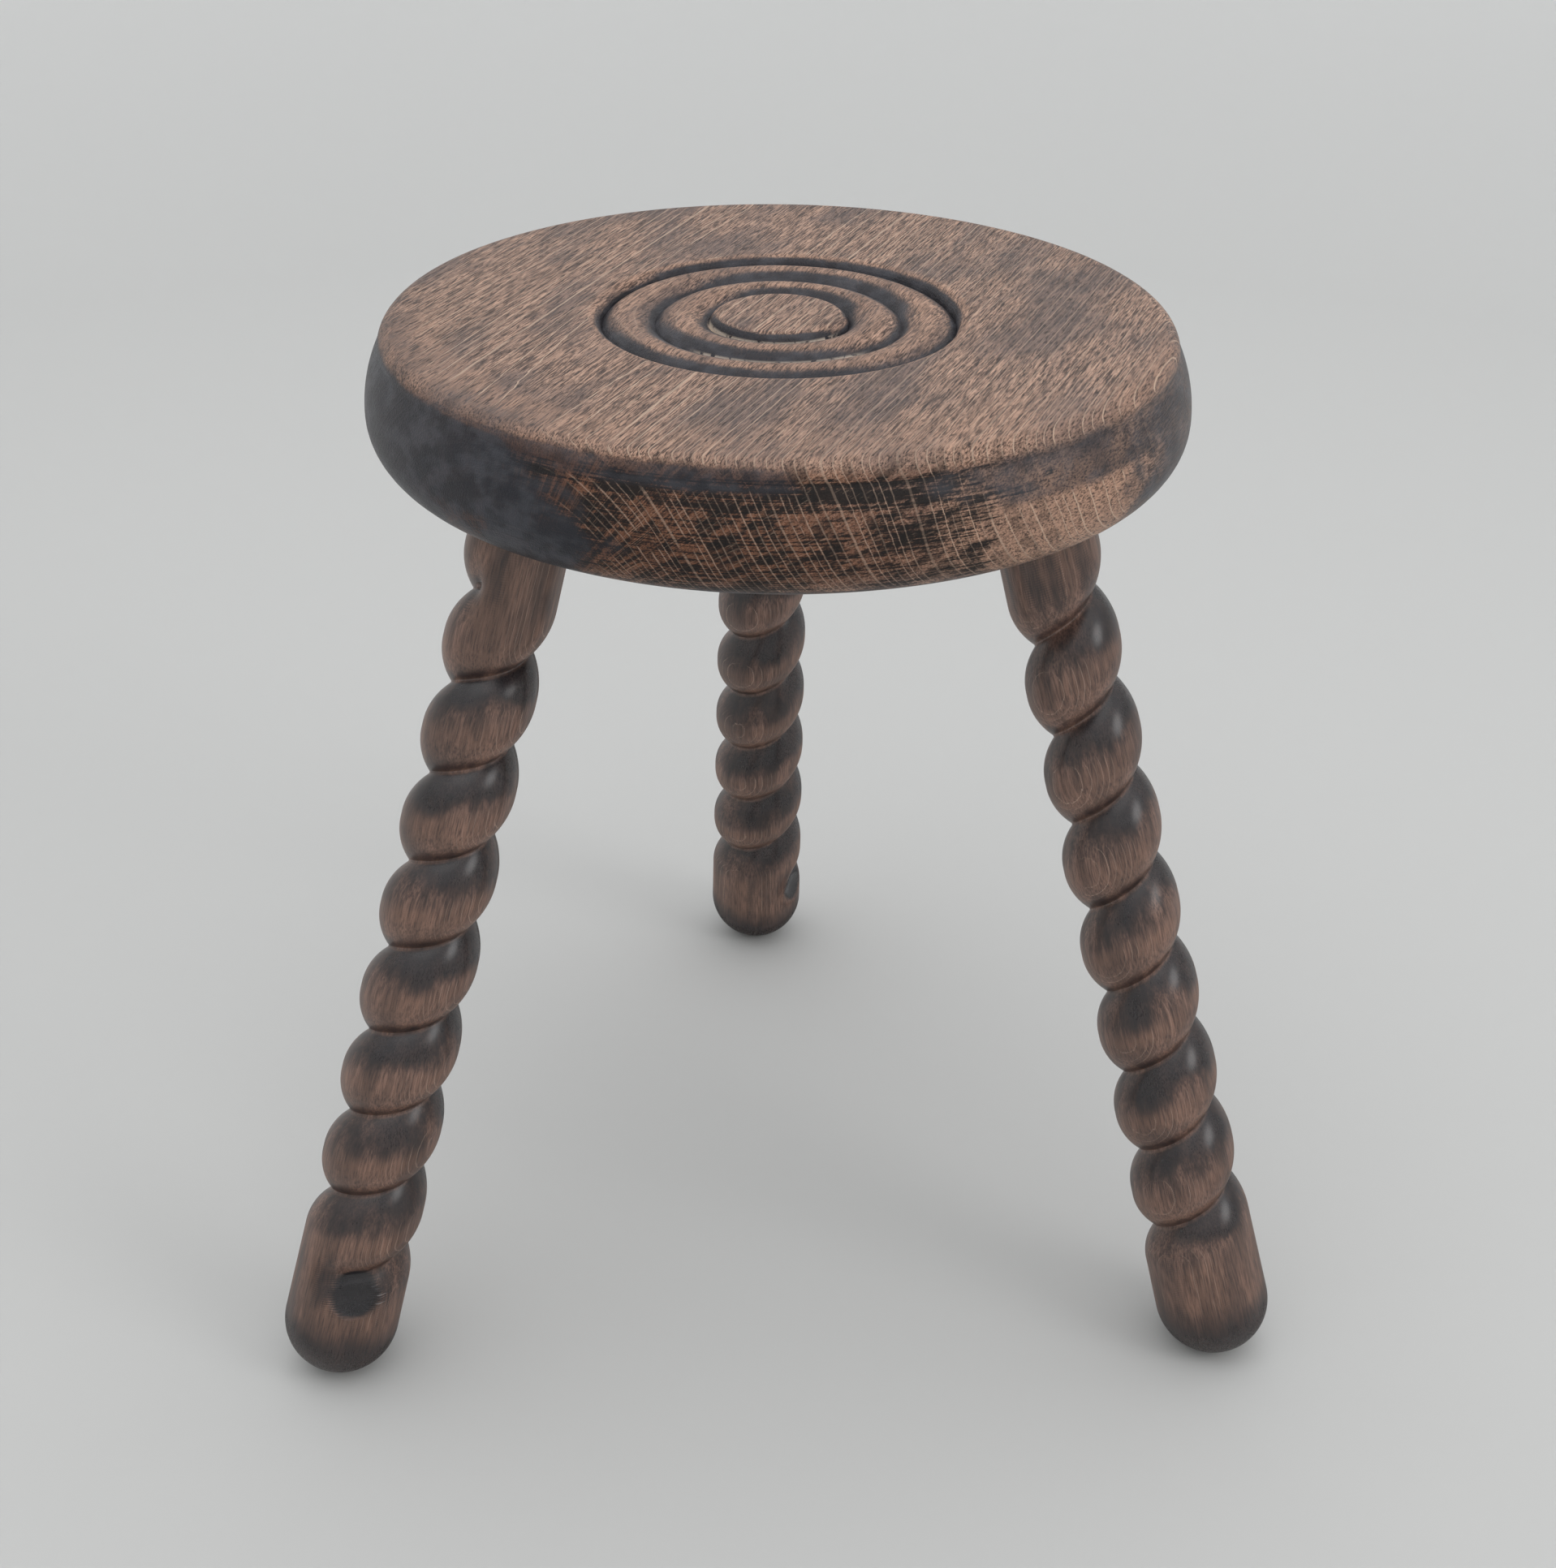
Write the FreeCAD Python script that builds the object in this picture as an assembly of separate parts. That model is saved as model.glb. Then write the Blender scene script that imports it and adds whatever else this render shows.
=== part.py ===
"""Low three-legged stool: a turned round seat on three splayed barley-twist legs.

Millimetres, +Z up. The origin is on the floor, under the middle of the seat. The rear leg stands towards +Y.
"""
import FreeCAD, Part
import math
import os

Vec = FreeCAD.Vector

# Seat, a turned disc
stool_height = 352.0
seat_diameter = 260.0
seat_thickness = 46.0
widest_above_underside = 20.0     # height of the rim's widest line
rim_draw_in = 5.2                 # how far the rim draws in from there up to the top edge
top_edge_round = 6.0              # quarter round between the rim and the flat top
under_round_width = 10.0          # the rim's lower side rounds in by this much
bevel_width = 14.0                # and runs on to the flat underside as a bevel
bevel_height = 6.0

# Mouldings turned in the middle of the seat
disc_radius = 22.0                # flat centre disc, out to the first valley
inner_bead_width = 16.8
outer_bead_width = 16.8
valley_depth = 4.0
bead_crest_drop = 0.3             # the bead crests lie this far below the top
edge_roll = 4.5                   # rounded edges of the centre disc and of the outer flat

# Legs
leg_circle_diameter = 181.0       # leg axes, where they pass the seat's underside
splay_angle = 16.9                # lean of each leg outwards from upright
leg_top_diameter = 31.5
leg_foot_diameter = 40.0
foot_flat_trim = 0.6              # taken off the lowest point, so that the foot stands level

# Barley twist, one right-hand groove down each leg
twist_pitch = 31.5
groove_depth = 6.0
crest_land = 2.0                  # strip of the turned surface left along the crest
flank_cuts = 2                    # straight cuts that round over each flank
twist_below_seat = 27.5           # along the leg, from the underside to the start of the groove
front_twist_above_floor = 46.0    # along a front leg, from the end of the groove to the floor
rear_twist_above_floor = 40.5     # the rear leg's groove runs on a little further

# Blind mortise and tenon
tenon_diameter = 22.0
tenon_length = 30.0
tenon_root = 8.0                  # length of the tenon's core inside the leg
glue_line = 0.1                   # room for glue round the tenon
mortise_end_gap = 0.5

# The way each leg stands from the middle, where its groove points at the seat, and where the groove ends
front_left_facing_angle = 210.0
front_left_groove_angle = 62.0
front_right_facing_angle = -30.0
front_right_groove_angle = 1.8
rear_facing_angle = 90.0
rear_groove_angle = 162.5
legs = {
    "front_left_leg": (front_left_facing_angle, front_left_groove_angle, front_twist_above_floor),
    "front_right_leg": (front_right_facing_angle, front_right_groove_angle, front_twist_above_floor),
    "rear_leg": (rear_facing_angle, rear_groove_angle, rear_twist_above_floor),
}

underside = stool_height - seat_thickness
splay = math.radians(splay_angle)
leg_run = underside / math.cos(splay)                     # along the axis, underside to floor
leg_growth_ratio = (leg_foot_diameter - leg_top_diameter) / 2 / leg_run
taper_angle = math.degrees(math.atan(leg_growth_ratio))


def leg_radius(distance):
    """Radius of the turned leg at a distance below the seat's underside."""
    return leg_top_diameter / 2 + leg_growth_ratio * distance


def at(radius, height):
    """A point of an outline that is turned about the Z axis."""
    return Vec(radius, 0, height)


def line(start, end):
    return Part.makeLine(start, end)


def arc_leaving(start, direction, end):
    """The arc that leaves start along direction and runs to end."""
    chord = end - start
    normal = chord - direction * chord.dot(direction)
    normal.normalize()
    radius = chord.dot(chord) / (2 * chord.dot(normal))
    centre = start + normal * radius
    middle = (start - centre) + (end - centre)
    middle.normalize()
    return Part.Arc(start, centre + middle * radius, end).toShape()


def turned(edges):
    """A solid of revolution about the Z axis from a closed outline."""
    outline = Part.Face(Part.Wire(edges))
    return outline.revolve(Vec(0, 0, 0), Vec(0, 0, 1), 360)


def seat_blank():
    top = stool_height
    valley = top - valley_depth
    crest = top - bead_crest_drop
    middle_valley = disc_radius + inner_bead_width
    outer_valley = middle_valley + outer_bead_width
    rim = seat_diameter / 2
    arris_radius = rim - rim_draw_in
    bevel_radius = rim - under_round_width
    outwards = Vec(1, 0, 0)
    upwards = Vec(0, 0, 1)

    disc_edge = at(disc_radius - edge_roll, top)
    first = at(disc_radius, valley)
    second = at(middle_valley, valley)
    third = at(outer_valley, valley)
    flat_inner = at(outer_valley + edge_roll, top)
    flat_outer = at(arris_radius - top_edge_round, top)
    arris = at(arris_radius, top - top_edge_round)
    widest = at(rim, underside + widest_above_underside)
    bevel_top = at(bevel_radius, underside + bevel_height)
    bevel_foot = at(bevel_radius - bevel_width, underside)
    inner_crest = at((disc_radius + middle_valley) / 2, crest)
    outer_crest = at((middle_valley + outer_valley) / 2, crest)

    return turned([
        line(at(0, underside), at(0, top)),
        line(at(0, top), disc_edge),
        arc_leaving(disc_edge, outwards, first),
        Part.Arc(first, inner_crest, second).toShape(),
        Part.Arc(second, outer_crest, third).toShape(),
        arc_leaving(flat_inner, -outwards, third),
        line(flat_inner, flat_outer),
        arc_leaving(flat_outer, outwards, arris),
        arc_leaving(widest, upwards, arris),
        arc_leaving(widest, -upwards, bevel_top),
        line(bevel_top, bevel_foot),
        line(bevel_foot, at(0, underside)),
    ])


def stand_leg(shape, facing):
    """Put a leg, drawn from the underside down its own Z axis, at its place under the seat."""
    upright = FreeCAD.Rotation(Vec(1, 0, 0), 180)
    lean = FreeCAD.Rotation(Vec(0, 1, 0), -splay_angle)
    turn = FreeCAD.Rotation(Vec(0, 0, 1), facing)
    foot_of_axis = turn.multVec(Vec(leg_circle_diameter / 2, 0, underside))
    placed = shape.copy()
    placed.Placement = FreeCAD.Placement(foot_of_axis, turn * lean * upright) * placed.Placement
    return placed


def leg_blank():
    """The turned leg: a taper that thickens downwards and ends in a domed foot."""
    above = leg_top_diameter * math.tan(splay)            # enough to be trimmed to the underside
    slant = math.radians(taper_angle)
    growth = leg_growth_ratio / math.cos(splay)           # of the radius, for each step down in height
    lowest = underside + foot_flat_trim
    dome_radius = (leg_top_diameter / 2 + growth * lowest) / (1 / math.cos(slant) + growth)
    dome_distance = (lowest - dome_radius) / math.cos(splay)
    neck = at(leg_radius(-above), -above)
    side = at(dome_radius * math.cos(slant), dome_distance - dome_radius * math.sin(slant))
    end = at(0, dome_distance + dome_radius)
    return turned([
        line(at(0, -above), neck),
        line(neck, side),
        arc_leaving(end, Vec(1, 0, 0), side),
        line(end, at(0, -above)),
    ])


def groove_flank():
    """Half of the groove's section, from the valley out past the leg's surface, as (outwards, along)."""
    half_width = (twist_pitch - crest_land) / 2
    radius = (half_width ** 2 + groove_depth ** 2) / (2 * groove_depth)
    sweep = math.asin(half_width / radius)
    points = []
    for cut in range(flank_cuts, -1, -1):
        angle = sweep * cut / flank_cuts
        points.append((radius * math.cos(angle) - radius, half_width - radius * math.sin(angle)))
    rise = math.tan(sweep / flank_cuts / 2)
    past = 0.4 * crest_land
    points[-1] = (rise * past, half_width + past)
    points.append((groove_depth, half_width + past))
    return points


def groove_cutter(above_floor):
    """What the groove takes away: a section swept down the twist, and a scooped pit at each end."""
    start = twist_below_seat
    length = leg_run - above_floor - start
    flank = groove_flank()
    one_side = [Vec(x, 0, z) for x, z in flank]
    other_side = [Vec(x, 0, -z) for x, z in flank]
    section = Part.makePolygon(one_side + other_side[:0:-1] + [one_side[0]])
    half = Part.Face(Part.makePolygon(one_side + [Vec(one_side[-1].x, 0, 0), one_side[0]]))
    pit = half.revolve(Vec(0, 0, 0), Vec(1, 0, 0), 360)

    def on_leg(shape, distance):
        placed = shape.copy()
        angle = 360 * distance / twist_pitch
        tilt = FreeCAD.Rotation(Vec(0, 1, 0), taper_angle)
        turn = FreeCAD.Rotation(Vec(0, 0, 1), angle)
        place = turn.multVec(Vec(leg_radius(distance), 0, distance))
        placed.Placement = FreeCAD.Placement(place, turn * tilt)
        return placed

    twist = Part.makeHelix(twist_pitch, length, leg_radius(start), taper_angle)
    twist.rotate(Vec(0, 0, 0), Vec(0, 0, 1), 360 * start / twist_pitch)
    twist.translate(Vec(0, 0, start))
    groove = Part.Wire(twist.Edges).makePipeShell([on_leg(section, start)], True, True)
    return groove, on_leg(pit, start), on_leg(pit, start + length)


def twisted_leg(above_floor):
    leg = leg_blank()
    for cutter in groove_cutter(above_floor):
        leg = leg.cut(cutter)
    return leg


def tenon(radius, length, root):
    """A round tenon on the leg's axis, or the room for one."""
    return Part.makeCylinder(radius, length + root, Vec(0, 0, root), Vec(0, 0, -1))


def slab(low, high):
    """Everything between two heights, wider than the stool."""
    reach = 2 * (seat_diameter + leg_run)
    return Part.makeBox(reach, reach, high - low, Vec(-reach / 2, -reach / 2, low))


os.makedirs("parts", exist_ok=True)

seat = seat_blank()
tenon_solid = tenon(tenon_diameter / 2, tenon_length, tenon_root)
mortise_solid = tenon(tenon_diameter / 2 + glue_line, tenon_length + mortise_end_gap, tenon_root)

for name, (facing, groove_turn, above_floor) in legs.items():
    own = twisted_leg(above_floor)
    own.rotate(Vec(0, 0, 0), Vec(0, 0, 1), groove_turn)
    leg = stand_leg(own, facing)
    leg = leg.cut(slab(underside, stool_height))          # shoulder scribed to the seat
    leg = leg.cut(slab(-leg_foot_diameter, 0))            # level foot
    leg = leg.fuse(stand_leg(tenon_solid, facing))
    leg.exportStep("parts/" + name + ".step")
    print(name, "valid", leg.isValid(), "solids", len(leg.Solids), "volume", round(leg.Volume))
    seat = seat.cut(stand_leg(mortise_solid, facing))

seat.exportStep("parts/seat.step")
print("seat valid", seat.isValid(), "solids", len(seat.Solids), "volume", round(seat.Volume))
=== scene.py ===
# %% [markdown]
# # A three-legged stool with barley-twist legs
# The stool is old stained beech: a thick turned seat with ring mouldings, on three splayed legs that each
# carry one carved spiral. The imported CAD model gives every size and place. Blender adds what the CAD
# leaves plain: the full round strands of the twist, the softened edges, and the smoked and worn finish of
# the wood, with painted shade in its valleys and grooves, and painted light and sheen in places.

# %% Load the imported model
import math
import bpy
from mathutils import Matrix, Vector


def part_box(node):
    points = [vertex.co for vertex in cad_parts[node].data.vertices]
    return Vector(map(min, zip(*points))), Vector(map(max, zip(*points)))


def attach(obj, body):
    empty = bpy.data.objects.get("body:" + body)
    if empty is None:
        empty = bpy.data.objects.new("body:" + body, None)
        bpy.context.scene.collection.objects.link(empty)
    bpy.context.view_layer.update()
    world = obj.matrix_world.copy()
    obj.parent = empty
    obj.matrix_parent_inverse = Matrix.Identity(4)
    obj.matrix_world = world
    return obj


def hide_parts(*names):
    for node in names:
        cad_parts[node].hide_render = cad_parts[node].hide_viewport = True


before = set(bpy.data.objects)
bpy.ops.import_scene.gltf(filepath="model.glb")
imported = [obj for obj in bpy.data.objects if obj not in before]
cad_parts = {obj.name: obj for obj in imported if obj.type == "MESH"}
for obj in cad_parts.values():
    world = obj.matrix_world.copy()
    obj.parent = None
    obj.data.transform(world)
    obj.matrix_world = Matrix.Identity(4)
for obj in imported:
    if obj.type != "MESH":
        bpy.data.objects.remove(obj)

from types import SimpleNamespace

import bmesh
import bpy
from mathutils import Matrix, Vector, noise

scene = bpy.context.scene
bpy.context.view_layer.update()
print("CAD nodes:", ", ".join(sorted(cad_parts)))

# %% [markdown]
# ## The camera
# The stool is seen from a little above, as by someone who stands in front of it. A camera can be aimed
# with a constraint, but here its heading, tilt and roll are known, so its three axes are written down and
# turned into a matrix. The lens belongs to a sensor that is 36 mm along the picture's longer side.

# %% Camera
camera_place = Vector((-0.0300, -0.6762, 0.5783))
heading, tilt, roll = (math.radians(angle) for angle in (2.65, 30.42, 0.64))
sensor_side, lens = 36, 51.25
nearest_seen = 0.01

forward = Vector((math.sin(heading) * math.cos(tilt), math.cos(heading) * math.cos(tilt), -math.sin(tilt)))
level = Vector((math.cos(heading), -math.sin(heading), 0))
upright = level.cross(forward)
picture_x = level * math.cos(roll) + upright * math.sin(roll)
picture_y = upright * math.cos(roll) - level * math.sin(roll)
aim = Matrix((picture_x, picture_y, -forward)).transposed().to_4x4()

camera = bpy.data.objects.new("camera", bpy.data.cameras.new("camera"))
scene.collection.objects.link(camera)
camera.matrix_world = Matrix.Translation(camera_place) @ aim
camera.data.sensor_width = sensor_side
camera.data.lens = lens
camera.data.clip_start = nearest_seen
scene.camera = camera
print("camera at", [round(x, 3) for x in camera.location])

# %% [markdown]
# ## Drawing an outline
# A turned piece starts as half of its section. Its points could be typed in, but arcs are easier to keep
# smooth when they are drawn: pulling a vertex out of the last one draws a line, and spinning a vertex
# round a centre draws an arc. An arc is known by where it starts, where it ends and the direction in
# which it leaves or arrives. Outlines are written in millimetres.

# %% Lines and arcs
MM = 0.001


def start_outline(radius, height):
    outline = bmesh.new()
    return outline, outline.verts.new((radius * MM, 0, height * MM))


def line_to(outline, last, radius, height, pieces):
    stride = (Vector((radius * MM, 0, height * MM)) - last.co) / pieces
    for _ in range(pieces):
        last = bmesh.ops.extrude_vert_indiv(outline, verts=[last])["verts"][0]
        bmesh.ops.translate(outline, verts=[last], vec=stride)
    return last


def arc_to(outline, last, radius, height, pieces, leaving=None, arriving=None):
    chord = Vector((radius * MM, 0, height * MM)) - last.co
    if leaving is None:
        end_way = Vector((arriving[0], 0, arriving[1]))
        way = 2 * chord * chord.dot(end_way) / chord.length_squared - end_way
    else:
        way = Vector((leaving[0], 0, leaving[1]))
    inwards = (chord - way * chord.dot(way)).normalized()
    bend = chord.length_squared / (2 * chord.dot(inwards))
    sweep = 2 * math.asin(min(1.0, chord.length / (2 * bend)))
    spun = bmesh.ops.spin(outline, geom=[last], cent=last.co + inwards * bend, axis=way.cross(inwards),
                          angle=sweep, steps=pieces, dvec=(0, 0, 0))
    return [item for item in spun["geom_last"] if isinstance(item, bmesh.types.BMVert)][0]


# %% Turning and finishing


def turn_on_lathe(outline, segments):
    """Spin the outline once round the Z axis and close the seam and the poles."""
    bmesh.ops.spin(outline, geom=outline.verts[:] + outline.edges[:], cent=(0, 0, 0), axis=(0, 0, 1),
                   angle=2 * math.pi, steps=segments, dvec=(0, 0, 0), use_merge=True)
    bmesh.ops.remove_doubles(outline, verts=outline.verts[:], dist=1e-6)
    bmesh.ops.dissolve_degenerate(outline, edges=outline.edges[:], dist=1e-7)
    bmesh.ops.recalc_face_normals(outline, faces=outline.faces[:])


def finish_mesh(work, name, sharp_angle=30):
    """Turn a bmesh into an object: smooth faces, with a crisp line where two faces meet at a clear angle."""
    for face in work.faces:
        face.smooth = True
    for edge in work.edges:
        edge.smooth = edge.calc_face_angle(0) < math.radians(sharp_angle)
    mesh = bpy.data.meshes.new(name)
    work.to_mesh(mesh)
    work.free()
    piece = bpy.data.objects.new(name, mesh)
    scene.collection.objects.link(piece)
    print(name, len(mesh.vertices), "vertices,", len(mesh.polygons), "faces")
    return piece


# %% [markdown]
# ## Wiring materials
# A material is a small graph of nodes. Each node could be added, set and wired in lines of its own, but a
# finish with many layers then becomes hard to follow. One helper adds a node, wires or sets its inputs
# and hands back an output, and a few more give names to what is done most: multiplying, adding, and
# laying one colour over another.

# %% Helpers for material nodes


def put(tree, kind, wires, result=0, **choices):
    """Add a node, wire or set its inputs, and hand back one of its outputs."""
    made = tree.nodes.new("ShaderNode" + kind)
    for choice, value in choices.items():
        setattr(made, choice, value)
    for slot, value in wires.items():
        if isinstance(value, bpy.types.NodeSocket):
            tree.links.new(value, made.inputs[slot])
        else:
            made.inputs[slot].default_value = value
    return made.outputs[result] if made.outputs else made


def calc(tree, operation, first, second=0.0):
    return put(tree, "Math", {0: first, 1: second}, operation=operation)


def times(tree, first, second):
    return calc(tree, "MULTIPLY", first, second)


def plus(tree, first, second):
    return calc(tree, "ADD", first, second)


def stain(tree, share, under, over):
    """Lay one colour over another, as much as share says."""
    return put(tree, "Mix", {0: share, 6: under, 7: over}, result=2, data_type="RGBA")


# %% [markdown]
# ## Floor and light
# The stool stands on a plain pale sweep. A flat plane would show a horizon in a low view, so the floor is
# a wide dish whose rim curls up, the same from every side. Its paper is painted a little paler further out,
# as painted light for the weaker light that reaches the far floor and the curl. The light is that of a bright
# room: a pale sky for the most part, one wide panel overhead and a weaker one from the right, which give
# the satin finish something to shine with.

# %% Floor
floor_radius, curl_radius, wall_height = 2600, 1000, 1200
dish, edge = start_outline(0, 0)
edge = line_to(dish, edge, floor_radius, 0, 8)
edge = arc_to(dish, edge, floor_radius + curl_radius, curl_radius, 16, leaving=(1, 0))
edge = line_to(dish, edge, floor_radius + curl_radius, curl_radius + wall_height, 2)
turn_on_lathe(dish, 96)
bmesh.ops.reverse_faces(dish, faces=dish.faces[:])
floor = finish_mesh(dish, "floor")

# %% Pale paper
# Painted light: the paper turns paler further out, to make up for the weaker light on the far floor and its
# curl.
near_tone, far_tone = (0.61, 0.61, 0.60, 1), (0.84, 0.84, 0.83, 1)
painted_light_from, painted_light_to = 1.2, 3.2
paper = bpy.data.materials.new("pale_paper")
paper.use_nodes = True
paper_tree = paper.node_tree
paper_tree.nodes.clear()
paper_place = put(paper_tree, "TexCoord", {}, result=3)
from_middle = put(paper_tree, "VectorMath", {0: paper_place}, result=1, operation="LENGTH")
painted_light_share = put(paper_tree, "MapRange", {0: from_middle, 1: painted_light_from, 2: painted_light_to, 3: 0.0, 4: 1.0})
paper_colour = stain(paper_tree, painted_light_share, near_tone, far_tone)
paper_shader = put(paper_tree, "BsdfPrincipled", {"Base Color": paper_colour, "Roughness": 0.9})
put(paper_tree, "OutputMaterial", {"Surface": paper_shader})
floor.data.materials.append(paper)
print("floor material:", paper.name)

# %% Light
sky_colour, sky_strength = (0.97, 0.985, 1.0, 1), 0.84
world = bpy.data.worlds.new("bright_room")
scene.world = world
world.use_nodes = True
world.node_tree.nodes["Background"].inputs["Color"].default_value = sky_colour
world.node_tree.nodes["Background"].inputs["Strength"].default_value = sky_strength


def light_panel(name, place, target, width, watts):
    lamp = bpy.data.lights.new(name, "AREA")
    lamp.shape = "DISK"
    lamp.size = width
    lamp.energy = watts
    panel = bpy.data.objects.new(name, lamp)
    panel.location = place
    panel.rotation_euler = (Vector(target) - Vector(place)).to_track_quat("-Z", "Y").to_euler()
    scene.collection.objects.link(panel)
    print(name, watts, "W,", width, "m wide")


lit_point = (0, 0, 0.2)
light_panel("overhead_panel", (-0.1, -0.1, 2.0), lit_point, width=2.6, watts=10)
light_panel("right_panel", (1.5, -1.0, 1.3), lit_point, width=0.9, watts=6)
scene.view_settings.view_transform = "Standard"

# %% [markdown]
# ## The seat
# The seat is one thick board that was turned on a lathe: a flat centre disc, two beads between sharp
# valleys, a wide flat ring, a rounded top edge, a rim that swells towards its middle, and a bevel
# underneath. Lathe work is what spin is for. The outline runs from the middle of the top, over the rim,
# to the middle of the underside. Its main sizes are read from the CAD seat.

# %% Seat outline
seat_low, seat_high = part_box("seat")
stool_height, underside = round(seat_high.z / MM, 1), round(seat_low.z / MM, 1)
seat_radius = round(-seat_low.y / MM, 1)
disc_radius, bead_width, valley_depth, crest_drop, edge_roll = 22.0, 16.8, 4.0, 0.3, 4.5
rim_draw_in, edge_round, widest_above_underside = 5.2, 6, 20
under_round_width, bevel_width, bevel_height = 10, 14, 6
arris_radius = seat_radius - rim_draw_in
bevel_radius = seat_radius - under_round_width
valley_height = stool_height - valley_depth
valleys = [disc_radius, disc_radius + bead_width, disc_radius + 2 * bead_width]
flat_start = valleys[2] + edge_roll
bead_angle = 2 * math.atan((valley_depth - crest_drop) / (bead_width / 2))
bead_way = (math.cos(bead_angle), math.sin(bead_angle))

seat_work, last = start_outline(0, stool_height)
last = line_to(seat_work, last, disc_radius - edge_roll, stool_height, 8)
last = arc_to(seat_work, last, valleys[0], valley_height, 10, leaving=(1, 0))
for valley in valleys[1:]:
    last = arc_to(seat_work, last, valley, valley_height, 18, leaving=bead_way)
last = arc_to(seat_work, last, flat_start, stool_height, 6, arriving=(1, 0))
last = line_to(seat_work, last, arris_radius - edge_round, stool_height, 30)
last = arc_to(seat_work, last, arris_radius, stool_height - edge_round, 10, leaving=(1, 0))
last = arc_to(seat_work, last, seat_radius, underside + widest_above_underside, 16, arriving=(0, -1))
last = arc_to(seat_work, last, bevel_radius, underside + bevel_height, 10, leaving=(0, -1))
last = line_to(seat_work, last, bevel_radius - bevel_width, underside, 6)
last = line_to(seat_work, last, 0, underside, 26)
print("seat outline points:", len(seat_work.verts), "ends at", [round(x / MM, 2) for x in last.co])
turn_on_lathe(seat_work, 360)

# %% [markdown]
# ## What the finish needs to know
# The finish follows the form: a soft film of smoke, together with painted shade, lies in the valleys and
# round the left of the rim, black soot has gone into the open end grain of the front, the edges are worn,
# and the grain runs through the board. Painting masks by hand would tie them to one picture. Instead each
# vertex carries a few numbers that the material reads: where it lies in the tree (timber), how far its
# surface cuts across the fibres (end_grain) or lies along a growth ring (flat_ring), and how much smoke and
# painted shade, soot (on the legs also painted shade), wear and painted light, and bare wood it has. Timber
# is given along the grain, to the side of the pith and above it, because growth rings are rings round the
# pith.

# %% Where the seat lies in the tree
grain_bearing = math.radians(66)
grain_way = Vector((math.cos(grain_bearing), math.sin(grain_bearing), 0))
sideways = Vector((math.sin(grain_bearing), -math.cos(grain_bearing), 0))
pith_side, pith_height, pith_slope = -33, 292, 0.012


def seat_timber(x, y, z):
    along = x * math.cos(grain_bearing) + y * math.sin(grain_bearing)
    side = x * math.sin(grain_bearing) - y * math.cos(grain_bearing)
    return along, side - pith_side, z - pith_height - pith_slope * along


print("the seat's pith lies", underside - pith_height, "mm below its underside")

# %% [markdown]
# ## Smoke, soot, wear, painted shade and painted light on the seat
# Each mark is a product of soft steps: one for the heights or radii that it covers, in mm, and one for
# the bearings, in degrees round the seat from its right side by way of its back. The strongest mark at a
# place counts, so marks can overlap without adding up.

# %% Soft steps


def fade(value, start, end):
    """0 at start and 1 at end, with a soft step between them."""
    share = min(1.0, max(0.0, (value - start) / (end - start)))
    return share * share * (3 - 2 * share)


def between(value, low, high, soft):
    """1 from low to high, fading out over a soft width on both sides."""
    return fade(value, low - soft, low) * fade(value, high + soft, high)


# %% Smoke and painted shade on the seat


def seat_smoke_and_shade(radius, height, bearing, across_fibres):
    """The soft dark film: smoke and painted shade in the valleys and over the edge at the left of the rim,
    and darker bands and patches round the rim and under it.
    """
    depth = stool_height - height
    if radius < flat_start:
        # On the mouldings the film is smoke and painted shade: darker the deeper a valley goes, and on the
        # slopes that cut across the fibres.
        return max(fade(depth, 0.9, 3.4), 0.95 * fade(across_fibres, 0.05, 0.42) * fade(depth, 0.1, 0.8))
    on_rim = fade(height, 348, 344)
    over_edge = fade(height, 351, 347)
    # From here to left_arris, the film at the left of the rim and on its edge, which face away from the
    # light, is smoke and painted shade.
    left = between(bearing, 170, 236 - 0.25 * (height - 318), 16)
    left_top = left * fade(radius, 104, 122)
    left_arris = between(bearing, 215, 262, 14) * between(height, 344.5, 349.5, 1.5)
    lightened = 1 - 0.4 * between(height, 312, 324, 5) * between(bearing, 221, 229, 5)
    right_patch = between(height, 337, 346, 4) * between(bearing, 298, 352, 12)
    far_right = between(bearing, 330, 366, 14) * on_rim
    foot_band = fade(height, 318, 311) * on_rim
    back = between(bearing, 62, 150, 25) * on_rim
    under = fade(height, underside + 4, underside)
    return max(left * over_edge * lightened, 0.4 * left_top, 0.6 * left_arris, 0.6 * right_patch,
               0.7 * far_right, 0.6 * foot_band, 0.6 * back, 0.5 * under)


# %% Soot, wear, painted light and chips on the seat
chip_reach, chip_spare = 0.9, 0.05


def seat_soot(height, bearing):
    """The black that has gone into the open grain of the rim's front."""
    on_rim = fade(height, 347.5, 345)
    under_arris = between(height, 340, 345.8, 3) * between(bearing, 243, 294, 9)
    streaked = between(bearing, 232, 290, 10) * on_rim
    return max(0.74 * under_arris, 0.54 * streaked, 0.16 * on_rim * between(bearing, 60, 294, 12))


def seat_wear_and_light(radius, height, bearing):
    """Paler wood where use has rubbed it: the beads, the edge, and a scuffed place at the front right that is
    also painted light, paler for the light from the right.
    """
    if radius < flat_start:
        return 0.5 * fade(stool_height - height, 1.2, 0.4) * fade(radius, 18, 26)
    rounded = between(radius, 118, 123, 4) * fade(height, 345, 349)
    front = between(bearing, 248, 300, 12)
    right = between(bearing, 316, 342, 14)
    near_edge = fade(radius, 90, 112) * fade(height, 345, 350) * between(bearing, 240, 305, 22)
    left_edge = between(radius, 108, 122, 8) * fade(height, 347, 350) * between(bearing, 190, 236, 14)
    # The scuffed place at the front right is wear and painted light: the rim there is made paler for the
    # light that falls on it from the right.
    scuffed_and_lit = between(height, 318, 341, 5) * between(bearing, 292, 316, 8)
    return max(0.35 * rounded * front, 0.6 * rounded * right, 0.5 * near_edge, 0.6 * left_edge, scuffed_and_lit)


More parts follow.
